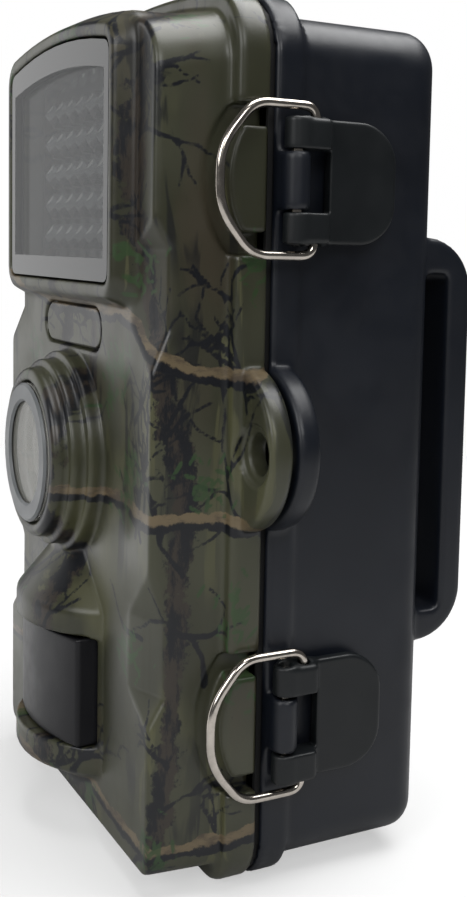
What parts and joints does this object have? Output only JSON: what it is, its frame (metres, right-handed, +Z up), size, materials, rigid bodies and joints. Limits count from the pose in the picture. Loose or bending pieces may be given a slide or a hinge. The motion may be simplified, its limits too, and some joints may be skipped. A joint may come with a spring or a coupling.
{
  "type": "trail camera",
  "caption": "Hinged weatherproof camera case with an infrared lamp window, lens, motion sensor, wire-bail latches, padlock lug and rear strap loops.",
  "frame": {"origin": "middle of the base of the bounding box, on the surface the case stands on", "axes": "+X towards the latch side, +Y towards the strap loops at the back, +Z up"},
  "size_m": [0.1006, 0.068, 0.1455],
  "materials": {
    "camouflage_shell": "fine-textured moulded shell with a printed woodland camouflage film",
    "black_plastic": "satin black moulded housing plastic",
    "lever_plastic": "smooth satin black plastic",
    "seal_rubber": "soft black silicone",
    "stainless_wire": "polished stainless wire",
    "screw_steel": "zinc-plated steel",
    "nickel_plate": "nickel-plated sheet",
    "brass": "turned brass",
    "smoked_window": "polished smoked window with a dark printed border",
    "clear_lens": "polished clear window",
    "lens_bezel": "semi-gloss dark ring",
    "filter_plastic": "smooth dark infrared filter plastic",
    "circuit_board": "solder-masked glass-fibre board",
    "display_panel": "dark display panel in a light frame",
    "card_plastic": "dark plastic card",
    "cell_jacket": "printed satin cell jacket with bare ends"
  },
  "bodies": {
    "rear_case": {"rear_housing": "black_plastic", "gasket": "seal_rubber", "battery_tray": "black_plastic", "cell_1": "cell_jacket", "cell_2": "cell_jacket", "cell_3": "cell_jacket", "cell_4": "cell_jacket", "cell_5": "cell_jacket", "cell_6": "cell_jacket", "cell_7": "cell_jacket", "cell_8": "cell_jacket", "contact_strip_1": "nickel_plate", "contact_strip_2": "nickel_plate", "contact_strip_3": "nickel_plate", "contact_strip_4": "nickel_plate", "tray_screw_1": "screw_steel", "tray_screw_2": "screw_steel", "tripod_insert": "brass", "dc_jack": "black_plastic", "latch_pin_lower": "stainless_wire", "latch_pin_upper": "stainless_wire", "hinge_pin_lower": "stainless_wire", "hinge_pin_upper": "stainless_wire"},
    "front_half": {"front_cover": "camouflage_shell", "led_window": "smoked_window", "led_board": "circuit_board", "lens_ring": "lens_bezel", "lens_glass": "clear_lens", "camera_module": "black_plastic", "pir_window": "filter_plastic", "pir_sensor": "nickel_plate", "name_plate": "camouflage_shell", "main_board": "circuit_board", "inner_panel": "black_plastic", "display_module": "display_panel", "display_window": "clear_lens", "mode_switch": "nickel_plate", "card_slot": "nickel_plate", "usb_port": "nickel_plate", "speaker": "black_plastic", "panel_screw_1": "screw_steel", "panel_screw_2": "screw_steel", "panel_screw_3": "screw_steel", "panel_screw_4": "screw_steel"},
    "lever_lower": {"latch_lever_lower": "lever_plastic"},
    "bail_lower": {"latch_bail_lower": "stainless_wire"},
    "lever_upper": {"latch_lever_upper": "lever_plastic"},
    "bail_upper": {"latch_bail_upper": "stainless_wire"},
    "button_ok_key": {"button_ok": "lever_plastic"},
    "button_up_key": {"button_up": "lever_plastic"},
    "button_down_key": {"button_down": "lever_plastic"},
    "button_left_key": {"button_left": "lever_plastic"},
    "button_right_key": {"button_right": "lever_plastic"},
    "button_menu_key": {"button_menu": "lever_plastic"},
    "button_shot_key": {"button_shot": "lever_plastic"},
    "knob": {"mode_knob": "lever_plastic"},
    "card": {"memory_card": "card_plastic"},
    "plug": {"dc_plug": "seal_rubber"}
  },
  "joints": [
    {"name": "cover_hinge", "type": "hinge", "parent": "rear_case", "child": "front_half", "pos_m": [-0.0476, -0.00735, 0.07275], "axis": [0, 0, -1], "range_deg": [0, 150]},
    {"name": "lever_lower_hinge", "type": "hinge", "parent": "rear_case", "child": "lever_lower", "pos_m": [0.0423, -0.00425, 0.0286], "axis": [0, 0, -1], "range_deg": [0, 120]},
    {"name": "bail_lower_hinge", "type": "hinge", "parent": "lever_lower", "child": "bail_lower", "pos_m": [0.0423, -0.00105, 0.0286], "axis": [0, 0, 1], "range_deg": [0, 160]},
    {"name": "lever_upper_hinge", "type": "hinge", "parent": "rear_case", "child": "lever_upper", "pos_m": [0.0423, -0.00425, 0.1141], "axis": [0, 0, -1], "range_deg": [0, 120]},
    {"name": "bail_upper_hinge", "type": "hinge", "parent": "lever_upper", "child": "bail_upper", "pos_m": [0.0423, -0.00105, 0.1141], "axis": [0, 0, 1], "range_deg": [0, 160]},
    {"name": "button_ok_press", "type": "slide", "parent": "front_half", "child": "button_ok_key", "axis": [0, -1, 0], "range_m": [0, 0.0005], "stiffness_N_per_m": 300},
    {"name": "button_up_press", "type": "slide", "parent": "front_half", "child": "button_up_key", "axis": [0, -1, 0], "range_m": [0, 0.0005], "stiffness_N_per_m": 300},
    {"name": "button_down_press", "type": "slide", "parent": "front_half", "child": "button_down_key", "axis": [0, -1, 0], "range_m": [0, 0.0005], "stiffness_N_per_m": 300},
    {"name": "button_left_press", "type": "slide", "parent": "front_half", "child": "button_left_key", "axis": [0, -1, 0], "range_m": [0, 0.0005], "stiffness_N_per_m": 300},
    {"name": "button_right_press", "type": "slide", "parent": "front_half", "child": "button_right_key", "axis": [0, -1, 0], "range_m": [0, 0.0005], "stiffness_N_per_m": 300},
    {"name": "button_menu_press", "type": "slide", "parent": "front_half", "child": "button_menu_key", "axis": [0, -1, 0], "range_m": [0, 0.0005], "stiffness_N_per_m": 300},
    {"name": "button_shot_press", "type": "slide", "parent": "front_half", "child": "button_shot_key", "axis": [0, -1, 0], "range_m": [0, 0.0005], "stiffness_N_per_m": 300},
    {"name": "mode_slide", "type": "slide", "parent": "front_half", "child": "knob", "axis": [1, 0, 0], "range_m": [0, 0.004]},
    {"name": "card_slide", "type": "slide", "parent": "front_half", "child": "card", "axis": [0, 0, -1], "range_m": [0, 0.012]},
    {"name": "plug_pull", "type": "slide", "parent": "rear_case", "child": "plug", "axis": [0, 0, -1], "range_m": [0, 0.008]}
  ],
  "couplings": [
    {"joint": "bail_lower_hinge", "follows": "lever_lower_hinge", "ratio": 1.3333},
    {"joint": "bail_upper_hinge", "follows": "lever_upper_hinge", "ratio": 1.3333}
  ]
}
